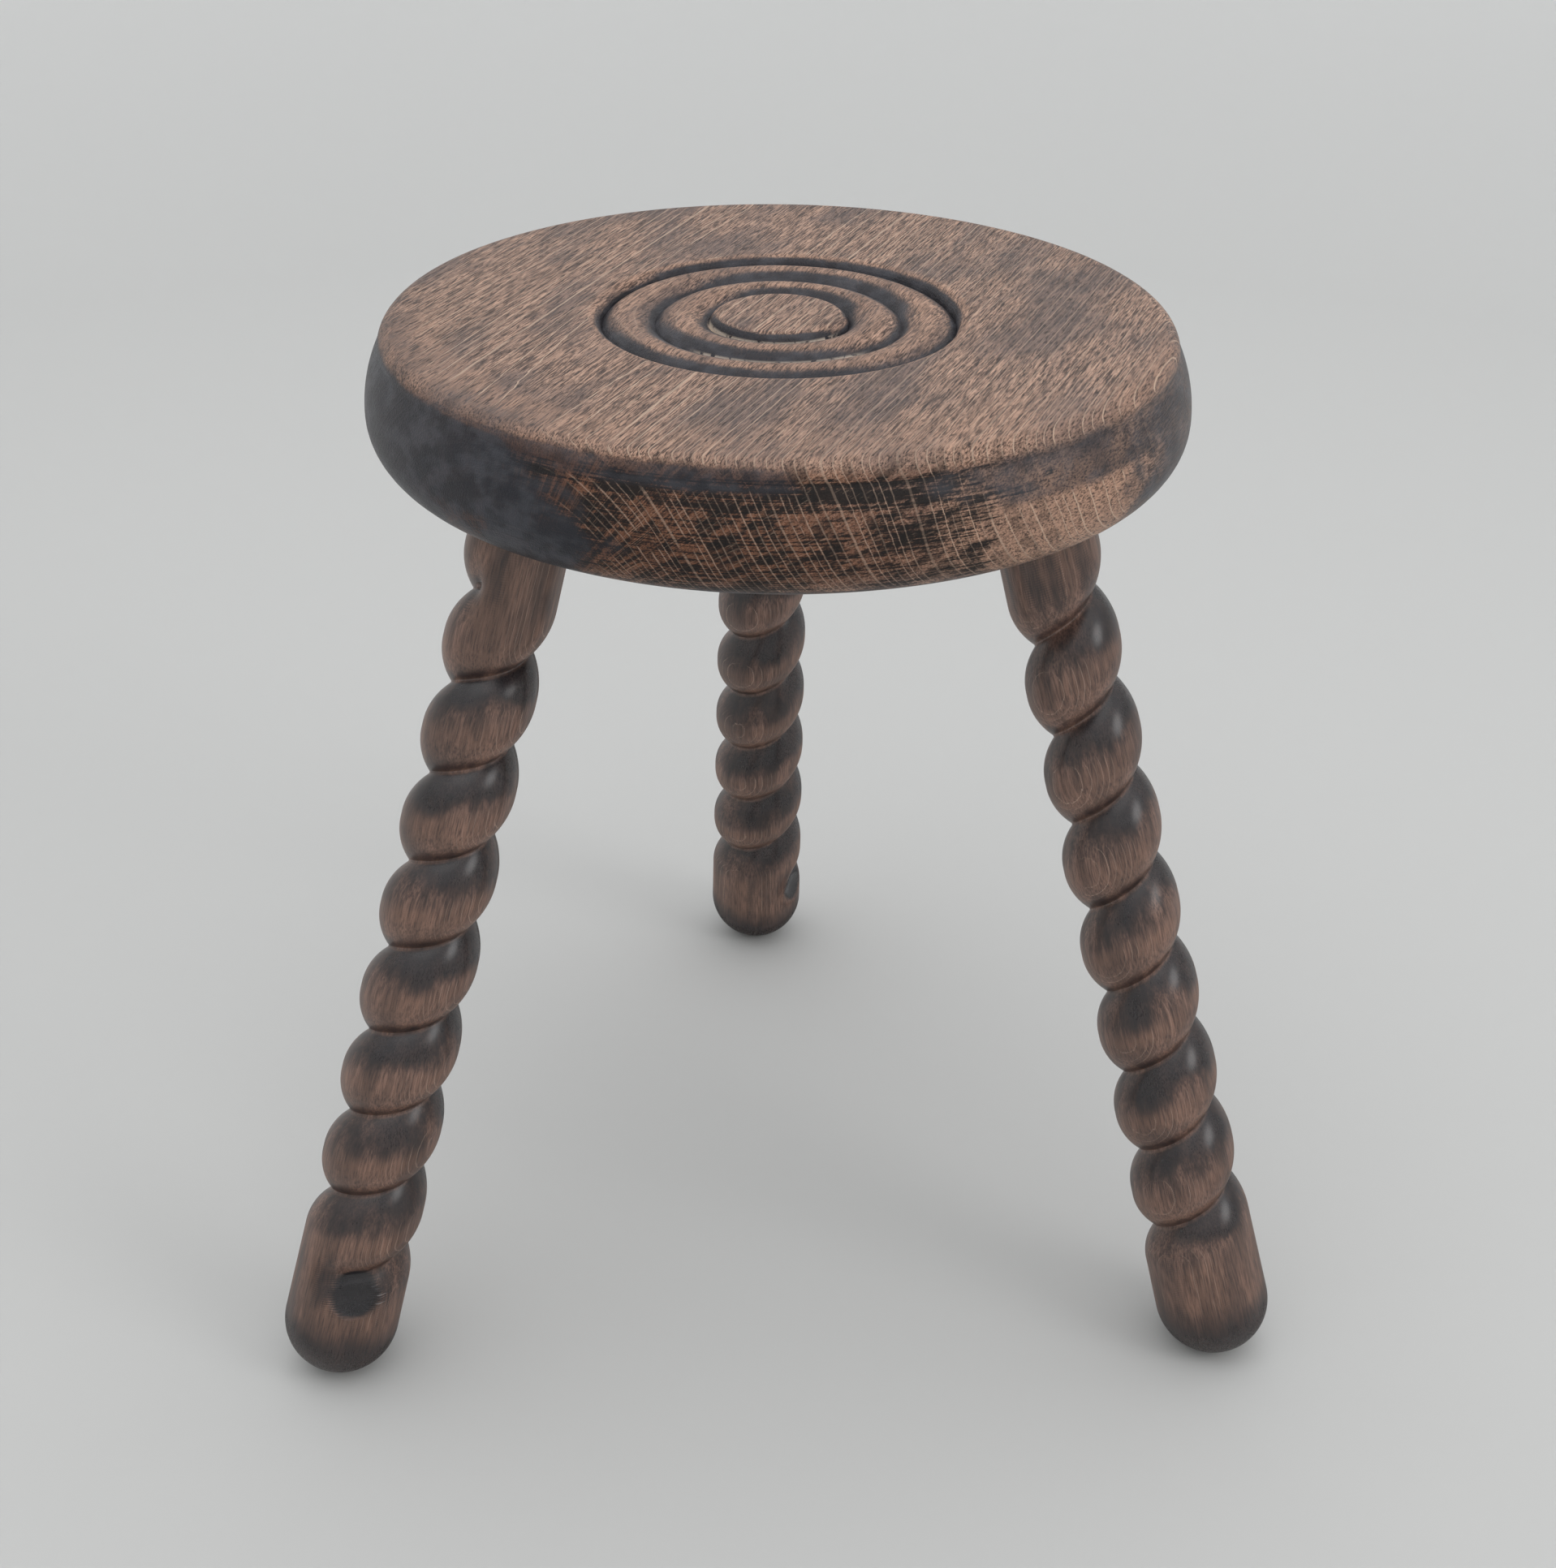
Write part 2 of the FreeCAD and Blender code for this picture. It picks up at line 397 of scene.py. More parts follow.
def seat_chips(radius, height, bearing):
    """Bare wood where the finish has chipped off, low on the inner flank of the first two valleys."""
    above_valley = height - valley_height
    if valleys[0] - chip_reach < radius < valleys[0] + chip_spare:
        return between(bearing, 190, 310, 20) * fade(above_valley, 1.9, 1.0)
    if valleys[1] - chip_reach < radius < valleys[1] + chip_spare:
        return 0.9 * between(bearing, 235, 300, 15) * fade(above_valley, 1.5, 0.6)
    return 0.0


# %% [markdown]
# ## Writing the marks
# Old finishes have ragged borders, so the bearings drift by a little noise and the soot is blotchy. The
# beads would show growth lines as busy stripes, so they count as lying along a ring, where hardly a line
# is drawn. Hand work also leaves the rim a touch uneven, so a very small swell moves its vertices in or
# out.

# %% Mark the seat
mark_names = ("smoke", "soot", "wear", "bare", "end_grain", "flat_ring")
first_bearing = 29    # the count of bearings starts and ends here, where the rim has no mark for it to cut
bead_lies_along_ring = 0.993
swell_start, rim_swell = 100, 0.15


def lumps(x, y, z, wide, tall):
    """Noise from -1 to 1 whose lumps are so many mm wide and tall."""
    return noise.noise(Vector((x / wide, y / wide, z / tall)))


timber = seat_work.verts.layers.float_vector.new("timber")
smoke, soot, wear, bare, end_grain, flat_ring = (
    seat_work.verts.layers.float.new(mark) for mark in mark_names)
seat_work.normal_update()
for vert in seat_work.verts:
    x, y, z = vert.co / MM
    radius = math.hypot(x, y)
    bearing = (math.degrees(math.atan2(y, x)) - first_bearing) % 360 + first_bearing
    along, aside, above = seat_timber(x, y, z)
    vert[timber] = (along, aside, above)
    vert[end_grain] = abs(vert.normal.dot(grain_way))
    vert[flat_ring] = abs(vert.normal.dot((sideways * aside + Vector((0, 0, above))).normalized()))
    if valleys[0] < radius < flat_start:
        vert[flat_ring] = max(vert[flat_ring], bead_lies_along_ring)
    drift = 9 * lumps(x, y, z, 18, 12) + 5 * lumps(x, y, z, 6, 5)
    blotch = 1 + 0.7 * lumps(x, y, z, 11, 6) * fade(radius, 122, 126)
    drifted = bearing + drift * fade(radius, 80, 110)
    vert[smoke] = seat_smoke_and_shade(radius, z, drifted, vert[end_grain])
    vert[soot] = seat_soot(z, drifted) * blotch
    vert[wear] = seat_wear_and_light(radius, z, bearing)
    vert[bare] = seat_chips(radius, z, bearing)
    if radius > swell_start:
        vert.co += Vector((x, y, 0)).normalized() * rim_swell * lumps(x, y, z, 55, 30) * MM
seat = finish_mesh(seat_work, "turned_seat", sharp_angle=16)

# %% [markdown]
# ## The mortises
# Each leg is let into a blind round hole under the seat. The holes lean with the legs, so they can't be
# part of the spin. A Boolean with three cylinders bores them as a drill would, and its result becomes the
# seat's own mesh.

# %% Where the legs stand
splay = math.radians(16.9)
leg_circle_radius = 90.5
facings = {"front_left_leg": 210, "front_right_leg": -30, "rear_leg": 90}


def leg_place(name):
    """The leg's own frame: Z runs down its axis from the underside of the seat, X points outwards."""
    facing = math.radians(facings[name])
    outwards = Vector((math.cos(facing), math.sin(facing), 0))
    up = Vector((0, 0, 1))
    down_leg = outwards * math.sin(splay) - up * math.cos(splay)
    out_of_leg = outwards * math.cos(splay) + up * math.sin(splay)
    turned = Matrix((out_of_leg, down_leg.cross(out_of_leg), down_leg)).transposed().to_4x4()
    return Matrix.Translation((outwards * leg_circle_radius + up * underside) * MM) @ turned


# %% Bore the mortises
tenon_radius, tenon_length, glue_line, mortise_end_gap = 11, 30, 0.1, 0.5
hole_depth, drill_lead = tenon_length + mortise_end_gap, 8
drill_radius = (tenon_radius + glue_line) * MM
drill = bmesh.new()
for name in facings:
    middle = Matrix.Translation((0, 0, (drill_lead - hole_depth) / 2 * MM))
    bmesh.ops.create_cone(drill, cap_ends=True, segments=48, radius1=drill_radius, radius2=drill_radius,
                          depth=(hole_depth + drill_lead) * MM, matrix=leg_place(name) @ middle)
drills = finish_mesh(drill, "drills")
bore = seat.modifiers.new("mortises", "BOOLEAN")
bore.operation = "DIFFERENCE"
bore.solver = "EXACT"
bore.object = drills
bored = bpy.data.meshes.new_from_object(seat.evaluated_get(bpy.context.evaluated_depsgraph_get()))
seat.modifiers.clear()
seat.data = bored
bpy.data.objects.remove(drills)
print("bored seat:", len(bored.polygons), "faces, marks:", [mark.name for mark in bored.attributes])

# %% [markdown]
# ## The legs
# A barley-twist leg was first turned to a plain taper with a domed foot, and its one groove was then
# carved round it. The groove could be cut away with a swept tool, but a mesh is cleaner when its lines
# follow the strand. So the blank is spun, every ring of it is turned a little further than the one above,
# and the vertices are then let in towards the axis: by nothing along the crest, and by the groove's full
# depth in the valley.

# %% Leg blank
leg_top_radius, leg_foot_radius, foot_trim = 15.75, 20, 0.6
neck_spare = 12    # the blank starts this far above the underside, to be trimmed
leg_run = underside / math.cos(splay)
leg_growth = (leg_foot_radius - leg_top_radius) / leg_run


def leg_radius(distance):
    return leg_top_radius + leg_growth * distance


def turned_blank(segments, rows, dome_rows):
    slant = math.atan(leg_growth)
    growth = leg_growth / math.cos(splay)
    lowest = underside + foot_trim
    dome = (leg_top_radius + growth * lowest) / (1 / math.cos(slant) + growth)
    dome_distance = (lowest - dome) / math.cos(splay)
    blank, last = start_outline(leg_radius(-neck_spare), -neck_spare)
    last = line_to(blank, last, dome * math.cos(slant), dome_distance - dome * math.sin(slant), rows)
    last = arc_to(blank, last, 0, dome_distance + dome, dome_rows, arriving=(-1, 0))
    turn_on_lathe(blank, segments)
    return blank


print("a leg is", round(leg_run, 1), "mm long from the seat to the floor")

# %% [markdown]
# ## The groove
# Its section is the same all the way: two round flanks that meet in a narrow valley with a fine step at
# its bottom. A place on the leg is at most one pitch away from the valleys above and below it, so three
# valleys are tried and the deepest cut counts. At both ends the groove runs out in a round hollow, and
# below its lower end lies a wider scoop.

# %% Sizes of the groove
twist_pitch, groove_depth, crest_land = 31.5, 6.0, 2.0
groove_start = 25.0
groove_stops = {"front_left_leg": leg_run - 46, "front_right_leg": leg_run - 46, "rear_leg": leg_run - 40.5}
groove_turns = {"front_left_leg": 62, "front_right_leg": 1.8, "rear_leg": 162.5}
half_strand = (twist_pitch - crest_land) / 2
strand_round = (half_strand ** 2 + groove_depth ** 2) / (2 * groove_depth)
valley_flat, valley_step = 0.55, 0.2
scoop_size, scoop_below_stop, scoop_depth = 9.6, 4.5, 3.4
scoop_backs = {"front_left_leg": 6.5, "front_right_leg": 6.5, "rear_leg": 0}
print("radius of a strand:", round(strand_round, 2), "mm")

# %% Depth of the groove


def half_turn(angle):
    return (angle + math.pi) % (2 * math.pi) - math.pi


def flank(reach):
    """Depth of the groove's round flank at a distance from the bottom of the valley."""
    from_crest = half_strand - reach
    return strand_round - math.sqrt(strand_round ** 2 - from_crest ** 2) if from_crest > 0 else 0.0


def twist_angle(distance):
    return 2 * math.pi * distance / twist_pitch


def groove_at(angle, distance, turn, stop, scoop_back):
    """(depth of the carving, distance below the last valley, distance to the nearest, share of the scoop)"""
    depth, below, beside = 0.0, twist_pitch, twist_pitch
    nearest = distance + twist_pitch * half_turn(angle - turn - twist_angle(distance)) / (2 * math.pi)
    for valley in (nearest - twist_pitch, nearest, nearest + twist_pitch):
        if groove_start <= valley <= stop:
            reach = abs(distance - valley)
            at_stop = 1 - fade(stop - valley, 0, 18)
            across = math.hypot(reach * (1 + 0.2 * at_stop), 2.0 * at_stop)
            notch = valley_step * (1 - at_stop) if reach < valley_flat else 0.0
            depth = max(depth, flank(max(across, valley_flat)) + notch)
            beside = min(beside, reach)
            if distance >= valley:
                below = min(below, distance - valley)
    for end, tall, wide, soft in ((groove_start, 1.0, 1.5, 0.0), (stop, 1.2, 1.2, 2.0)):
        around = leg_radius(distance) * half_turn(angle - turn - twist_angle(end))
        across = math.hypot(tall * (distance - end), wide * around)
        depth = max(depth, flank(max(math.hypot(across, soft), valley_flat)))
    scoop_x = (around + scoop_back) / scoop_size
    scoop_y = (distance - stop - scoop_below_stop) / scoop_size
    scoop = max(0.0, 1 - scoop_x ** 2 - scoop_y ** 2)
    return max(depth, scoop_depth * scoop), below, beside, scoop


def carve(blank, turn, stop, scoop_back):
    for vert in blank.verts:
        x, y, distance = vert.co / MM
        angle = math.atan2(y, x) + turn + twist_angle(distance)
        radius = max(0.0, math.hypot(x, y) - groove_at(angle, distance, turn, stop, scoop_back)[0])
        vert.co = Vector((radius * math.cos(angle), radius * math.sin(angle), distance)) * MM


# %% [markdown]
# ## Joining a leg to the seat and the floor
# The shoulder of a leaning leg is scribed to the flat underside, and its foot is trimmed level with the
# floor. Both are straight cuts, so bisect_plane makes them. The shoulder is inset to the size of the
# tenon, and the tenon is drawn out of it along the leg.

# %% Fit one leg
shoulder_inset = 3


def open_edges(work):
    return [edge for edge in work.edges if edge.is_boundary]


def on_tenon(verts, place, distance):
    """Set vertices on the tenon's round, at a distance along the leg or else on the underside."""
    for vert in verts:
        x, y, _ = place.inverted() @ vert.co
        x, y = Vector((x, y)).normalized() * tenon_radius
        along = x * math.tan(splay) if distance is None else distance
        vert.co = place @ (Vector((x, y, along)) * MM)


def fit_to_seat_and_floor(work, place):
    bmesh.ops.transform(work, verts=work.verts[:], matrix=place)
    for height, side in ((underside, "clear_outer"), (0, "clear_inner")):
        bmesh.ops.bisect_plane(work, geom=work.verts[:] + work.edges[:] + work.faces[:],
                               plane_co=(0, 0, height * MM), plane_no=(0, 0, 1), **{side: True})
        cap = bmesh.ops.edgeloop_fill(work, edges=open_edges(work))["faces"]
        if height == underside:
            bmesh.ops.inset_region(work, faces=cap, thickness=shoulder_inset * MM)
            on_tenon(cap[0].verts, place, None)
            tenon = bmesh.ops.extrude_discrete_faces(work, faces=cap)["faces"]
            on_tenon(tenon[0].verts, place, -tenon_length)
    bmesh.ops.recalc_face_normals(work, faces=work.faces[:])


# %% [markdown]
# ## Marks on the legs
# The same marks as on the seat: smoke on the upper shoulder of each strand, in smudges on the neck and at
# the foot, soot in the scoops, soot with painted shade in the valleys and smoke with painted shade on the
# lower flanks next to them, wear along the crests, and a painted highlight on the lip just below each
# valley. Each leg was split from a different place in the tree, so its pith lies another way.

# %% Where each leg lies in the tree
ring_bearings = {"front_left_leg": 336, "front_right_leg": 229, "rear_leg": 238}
pith_distances = {"front_left_leg": 70, "front_right_leg": 48, "rear_leg": 60}


def place_in_tree(work, name, place):
    timber = work.verts.layers.float_vector.new("timber")
    end_grain = work.verts.layers.float.new("end_grain")
    flat_ring = work.verts.layers.float.new("flat_ring")
    turned = place.to_3x3()
    down_leg = turned @ Vector((0, 0, 1))
    lie = math.radians(facings[name] - ring_bearings[name])
    from_pith = Vector((math.cos(lie), math.sin(lie), 0))
    sideways = Vector((-math.sin(lie), math.cos(lie), 0))
    work.normal_update()
    for vert in work.verts:
        x, y, distance = (place.inverted() @ vert.co) / MM
        aside = Vector((x, y, 0)).dot(sideways)
        above = Vector((x, y, 0)).dot(from_pith) + pith_distances[name]
        vert[timber] = (distance, aside, above)
        vert[end_grain] = abs(vert.normal.dot(down_leg))
        vert[flat_ring] = abs(vert.normal.dot(turned @ (sideways * aside + from_pith * above).normalized()))


# %% Smoke, soot, wear, painted shade and a painted highlight on a leg
stain_side = Vector((0.55, -0.75, 0.4)).normalized()    # the side that took the most stain
foot_from, foot_full, foot_top = leg_run - 36, leg_run - 12, leg_run - 46
patch_size = 0.014


def mark_leg(work, name, place):
    smoke, soot, wear = (work.verts.layers.float.new(mark) for mark in ("smoke", "soot", "wear"))
    turn, stop, facing = math.radians(groove_turns[name]), groove_stops[name], facings[name]
    for vert in work.verts:
        x, y, distance = (place.inverted() @ vert.co) / MM
        depth, below, beside, scoop = groove_at(math.atan2(y, x), distance, turn, stop, scoop_backs[name])
        patch = 0.5 + 0.9 * noise.noise(vert.co / patch_size + Vector((facing, 0, 0)))
        sprayed = 0.45 + 0.55 * fade(vert.normal.dot(stain_side), -0.3, 0.6)
        shoulder = fade(below, 14 + 7 * patch, 2 + 5 * patch) * sprayed * (0.6 + 0.5 * patch)
        run_out = 1 - 0.6 * fade(distance, stop - 12, stop - 2)
        # The groove darkens with its depth: soot and smoke, with painted shade under the strand above and on
        # the lower flank.
        groove_soot_and_shade = fade(depth, 0.6 * groove_depth, groove_depth) * run_out
        low_flank_smoke_and_shade = fade(depth, 0.2 * groove_depth, 0.85 * groove_depth) * run_out
        foot = fade(distance, foot_from, foot_full)
        # Painted highlight: a thin line just below each valley, where the strand's edge catches the light,
        # gets less smoke and soot and a little of the worn tone.
        lip_highlight = fade(beside, 1.1, 0.6) * fade(depth, 4, 5.5)
        uncarved = max(fade(distance, groove_start + 12, groove_start), fade(distance, stop - 20, foot_top))
        smudge = uncarved * fade(noise.noise(Vector((x / 6, y / 6, distance / 40 + facing))), 0.0, 0.4)
        in_scoop = 0.8 * fade(scoop, 0.0, 0.3)
        smoked_and_shaded = max(shoulder * run_out, 0.7 * groove_soot_and_shade, 0.5 * low_flank_smoke_and_shade, in_scoop, foot, 0.62 * smudge)
        vert[smoke] = smoked_and_shaded * (1 - 0.6 * lip_highlight)
        vert[soot] = max(0.8 * fade(groove_soot_and_shade, 0.5, 1.0), 1.1 * fade(scoop, 0.0, 0.45)) * (1 - 0.7 * lip_highlight)
        vert[wear] = max(fade(below, 11, 18) * fade(depth, 4.5, 1.5) * (0.4 + 0.6 * patch), 0.25 * lip_highlight)


# %% Make the three legs
legs = {}
for name in facings:
    work = turned_blank(segments=112, rows=400, dome_rows=36)
    carve(work, math.radians(groove_turns[name]), groove_stops[name], scoop_backs[name])
    place = leg_place(name)
    fit_to_seat_and_floor(work, place)
    place_in_tree(work, name, place)
    mark_leg(work, name, place)
    legs[name] = finish_mesh(work, name.replace("_leg", "_twist_leg"))

# %% [markdown]
# ## The wood
# Beech shows thin pale growth lines, short dark flecks where its rays are cut, and fine fibres. If these
# were drawn on the surface they would break at every edge. Here they fill the space of the board: growth
# lines are rings round the pith, rays stand out from it like spokes, and fibres run along it. So a line
# on the top turns over the edge and runs down the rim, and each bulge of a leg shows its own contour
# lines. All that belongs to one wood is kept together under one name: its node tree, its tones and
# strengths, the marks that it reads from the mesh, and its textures.

# %% Tools for the wood


def step(tree, value, start, end):
    """A soft step from 0 at start to 1 at end; start may be the higher one."""
    low, high, at_low, at_high = (start, end, 0.0, 1.0) if start < end else (end, start, 1.0, 0.0)
    return put(tree, "MapRange", {0: value, 1: low, 2: high, 3: at_low, 4: at_high},
               interpolation_type="SMOOTHSTEP")


def cloud(tree, place, size, detail=2.0, rough=0.5):
    """Noise whose lumps have the given size along each axis of a place in mm."""
    scaled = put(tree, "VectorMath", {0: place, 1: [1 / length for length in size]}, operation="MULTIPLY")
    return put(tree, "TexNoise", {"Vector": scaled, "Scale": 1.0, "Detail": detail, "Roughness": rough})


def lay(wood, share, layer, tone, under):
    """Lay a tone over a colour where share says, at the strength that this wood gives to the layer."""
    return stain(wood.tree, times(wood.tree, share, wood.strength[layer]), under, wood.tones[tone])


def read_marks(wood):
    """The marks that the mesh carries, the place in the tree, and the place in the room, both in mm."""
    for mark in mark_names:
        setattr(wood, mark, put(wood.tree, "Attribute", {}, result=2, attribute_name=mark))
    wood.timber = put(wood.tree, "Attribute", {}, result=1, attribute_name="timber")
    in_metres = put(wood.tree, "TexCoord", {}, result=3)
    wood.place = put(wood.tree, "VectorMath", {0: in_metres, 3: 1 / MM}, operation="SCALE")


# %% [markdown]
# ## Growth rings, rays and fibres
# The distance from the pith, divided by the width of one year's growth, counts the years; what is left
# over after the whole years says where in its ring a point lies. A pale line ends each ring. Slow noise
# makes the rings wander, fast noise frays them, and some years are fainter than others. Where a ring lies
# flat in the surface its line would spread out, so the line is made thinner there; on the smooth legs it
# shows nowhere else. Rays are noise that is stretched away from the pith; fibres and the dark dashes of
# the pores are noise that is stretched along the grain.

# %% Growth rings


def growth_rings(wood, ring_step):
    """The distance from the pith, the place within the ring, and a number for each year."""
    tree = wood.tree
    across = put(tree, "VectorMath", {0: wood.timber, 1: (0, 1, 1)}, operation="MULTIPLY")
    wood.from_pith = put(tree, "VectorMath", {0: across}, result=1, operation="LENGTH")
    wander = times(tree, cloud(tree, wood.timber, (260, 50, 50), 1.0), 7.0)
    fray = times(tree, cloud(tree, wood.timber, (9, 1.6, 1.6), 2.0), 0.4)
    reach = plus(tree, plus(tree, wood.from_pith, wander), fray)
    seasons = put(tree, "TexNoise", {"W": calc(tree, "DIVIDE", reach, 9.0), "Scale": 1.0, "Detail": 1.0},
                  noise_dimensions="1D")
    years = plus(tree, calc(tree, "DIVIDE", reach, ring_step), times(tree, seasons, 1.8))
    wood.ring = calc(tree, "FRACT", years)
    wood.year = put(tree, "TexWhiteNoise", {"W": calc(tree, "FLOOR", years)}, noise_dimensions="1D")


def ring_line(wood):
    """The pale line at a ring's end, as wide in the surface wherever the ring lies."""
    tree, strength = wood.tree, wood.strength
    steep = calc(tree, "SQRT", calc(tree, "SUBTRACT", 1.03, times(tree, wood.flat_ring, wood.flat_ring)))
    to_end = calc(tree, "DIVIDE", calc(tree, "SUBTRACT", 1.0, wood.ring), steep)
    line = times(tree, step(tree, to_end, 0.26, 0.16), step(tree, to_end, 0.0, 0.06))
    whole = step(tree, cloud(tree, wood.timber, (24, 7, 7), 2.0), 0.28, 0.44)
    line = times(tree, line, times(tree, whole, step(tree, wood.year, -0.7, 0.85)))
    lying = put(tree, "MapRange", {0: wood.flat_ring, 1: 0.6, 2: 0.95,
                                   3: strength["upright_line"], 4: strength["flat_line"]})
    return times(tree, line, times(tree, lying, step(tree, wood.flat_ring, 1.0, 0.98)))


# %% Rays and fibres


def rays_and_fibres(wood, ray_radius):
    """Ray streaks and broad bands of rays, fibres, pore dashes, longer streaks, and wide patches of stain."""
    tree, timber, strength = wood.tree, wood.timber, wood.strength
    parts = put(tree, "SeparateXYZ", {0: timber}).node
    bearing = calc(tree, "ARCTAN2", parts.outputs[1], parts.outputs[2])
    round_pith = times(tree, bearing, ray_radius)
    spoke = put(tree, "CombineXYZ", {0: parts.outputs[0], 1: round_pith, 2: wood.from_pith})
    wood.ray = cloud(tree, spoke, (2.2, 0.5, 14), 2.0, 0.6)
    wood.band = cloud(tree, spoke, (12, 3.0, 45), 3.0, 0.55)
    wood.fibre = cloud(tree, timber, (8.0, 0.55, 0.55), 3.0, 0.7)
    wood.dash = cloud(tree, timber, (4.2, 0.5, 0.5), 2.0, 0.5)
    wood.streak = cloud(tree, timber, (26, strength["streak_width"], strength["streak_width"]), 2.0, 0.55)
    wood.patch = cloud(tree, timber, (60, strength["patch_width"], strength["patch_width"]), 3.0, 0.55)


# %% [markdown]
# ## Stained beech
# One recipe serves the seat and the legs. The order is the finisher's: bare wood with its fibres and the
# brown stain that takes unevenly and goes deeper into end grain, and its worn places, which also hold painted
# light, then the rays, the soot in the open grain, with painted shade in the legs' grooves, and the pale
# lines that stay clear of it, and at last the film of smoke, with painted shade and painted sheen in it, and
# the chipped places.

# %% Bare wood


def bare_wood(wood):
    tree = wood.tree
    colour = stain(tree, step(tree, wood.fibre, 0.36, 0.64), wood.tones["brown"], wood.tones["tan"])
    colour = lay(wood, step(tree, wood.streak, 0.46, 0.66), "streaks", "smoky", colour)
    colour = lay(wood, step(tree, wood.patch, 0.42, 0.64), "patches", "smoky", colour)
    colour = lay(wood, step(tree, wood.end_grain, 0.5, 0.98), "end_grain", "rust", colour)
    colour = lay(wood, step(tree, wood.ring, 0.1, 0.75), "rings", "deep", colour)
    # The worn tone is wear, and painted light on the scuffed place of the seat and on the lips of the legs.
    lightened = times(tree, wood.wear, step(tree, wood.fibre, 0.22, 0.58))
    colour = lay(wood, lightened, "wear", "worn_and_lit", colour)
    return lay(wood, step(tree, wood.dash, 0.54, 0.66), "dashes", "deep", colour)


# %% Soot, painted shade and pale lines


def add_textures(tree, value, textures):
    """Add textures to a value, each about its middle and by its own amount."""
    for texture, amount in textures:
        value = plus(tree, value, times(tree, calc(tree, "SUBTRACT", texture, 0.5), amount))
    return value


def soot_and_shade_share(wood):
    """Soot from the mark on the mesh, with the painted shade in the legs' grooves, and an edge that is broken
    up by the wood's own lines.
    """
    tree, ragged, soft = wood.tree, wood.strength["ragged"], wood.strength["soft"]
    broken = add_textures(tree, times(tree, wood.line, -0.35), (
        (wood.band, 1.1), (wood.ray, 0.6), (wood.streak, 0.8), (wood.lathe, 2.3)))
    open_grain = put(tree, "MapRange", {0: wood.end_grain, 1: 0.1, 2: 0.8, 3: 0.35 * ragged, 4: ragged})
    edge = plus(tree, wood.soot, times(tree, broken, open_grain))
    return times(tree, step(tree, wood.soot, 0.02, 0.25), step(tree, edge, 0.53 - soft, 0.53 + soft))


def soot_shade_and_lines(wood, colour):
    tree = wood.tree
    cut_rays = put(tree, "MapRange", {0: wood.end_grain, 1: 0.4, 2: 0.95, 3: 0.25, 4: 1.0})
    colour = lay(wood, times(tree, step(tree, wood.ray, 0.50, 0.64), cut_rays), "rays", "deep", colour)
    dark_year = times(tree, step(tree, wood.year, 0.42, 0.30), step(tree, wood.band, 0.40, 0.56))
    colour = lay(wood, times(tree, dark_year, cut_rays), "years", "soot", colour)
    # On the legs this share also lays painted shade in the grooves.
    sooted_and_shaded = soot_and_shade_share(wood)
    colour = lay(wood, sooted_and_shaded, "soot", "soot", colour)
    pale_ray = times(tree, step(tree, wood.ray, 0.37, 0.30), cut_rays)
    pale = calc(tree, "MAXIMUM", wood.line, times(tree, pale_ray, 0.3))
    free_of_soot = put(tree, "MapRange", {0: sooted_and_shaded, 3: 1.0, 4: 0.55})
    clean = times(tree, free_of_soot, step(tree, wood.smoke, 0.5, 0.02))
    return lay(wood, times(tree, pale, clean), "lines", "pale", colour)


# %% Smoke, painted shade, painted sheen and chips


def smoke_shade_and_chips(wood, colour):
    tree = wood.tree
    uneven = cloud(tree, wood.place, (16, 16, 11), 1.0)
    mottled = add_textures(tree, wood.smoke, ((uneven, 0.5), (wood.streak, 0.2), (wood.band, 0.2)))
    # The film is smoke, and painted shade where the marks hold it.
    wood.film = times(tree, step(tree, wood.smoke, 0.0, 0.2), step(tree, mottled, 0.1, 0.9))
    # The paler tone mottled into the film is dust and painted sheen.
    sheen_patches = step(tree, cloud(tree, wood.place, (9, 9, 6), 2.0, 0.6), 0.4, 0.68)
    smoke_with_sheen = stain(tree, sheen_patches, wood.tones["smoke"], wood.tones["dust_and_sheen"])
    colour = stain(tree, times(tree, wood.film, wood.strength["smoke"]), colour, smoke_with_sheen)
    flakes = step(tree, cloud(tree, wood.place, (2.2, 2.2, 2.2), 2.0), 0.32, 0.44)
    return lay(wood, times(tree, wood.bare, flakes), "bare", "bare", colour)


# %% Waxed surface
grain_height = 0.0004


def waxed_surface(wood, colour):
    """Grain that can be felt, and a satin wax that is glossier on the film of smoke and painted shade."""
    tree, strength = wood.tree, wood.strength
    pores = plus(tree, times(tree, wood.fibre, 0.8), times(tree, wood.dash, -0.6))
    ridges = plus(tree, times(tree, wood.line, 0.3), times(tree, wood.lathe, 0.4))
    bump = put(tree, "Bump", {"Strength": strength["bump"], "Distance": grain_height,
                              "Height": plus(tree, pores, ridges)})
    gloss = plus(tree, times(tree, wood.fibre, strength["uneven"]), times(tree, wood.film, -0.08))
    shader = put(tree, "BsdfPrincipled", {"Base Color": colour, "Normal": bump,
                                          "Roughness": plus(tree, gloss, strength["matt"]),
                                          "Specular IOR Level": strength["wax"]})
    put(tree, "OutputMaterial", {"Surface": shader})


def stained_beech(name, ring_step, ray_radius, lathe_size, tones, strength):
    material = bpy.data.materials.new(name)
    material.use_nodes = True
    material.node_tree.nodes.clear()
    wood = SimpleNamespace(tree=material.node_tree, tones=tones, strength=strength)
    read_marks(wood)
    growth_rings(wood, ring_step)
    wood.line = ring_line(wood)
    rays_and_fibres(wood, ray_radius)
    wood.lathe = cloud(wood.tree, wood.place, lathe_size, 3.0, 0.6)
    waxed_surface(wood, smoke_shade_and_chips(wood, soot_shade_and_lines(wood, bare_wood(wood))))
    print(name, len(wood.tree.nodes), "nodes")
    return material


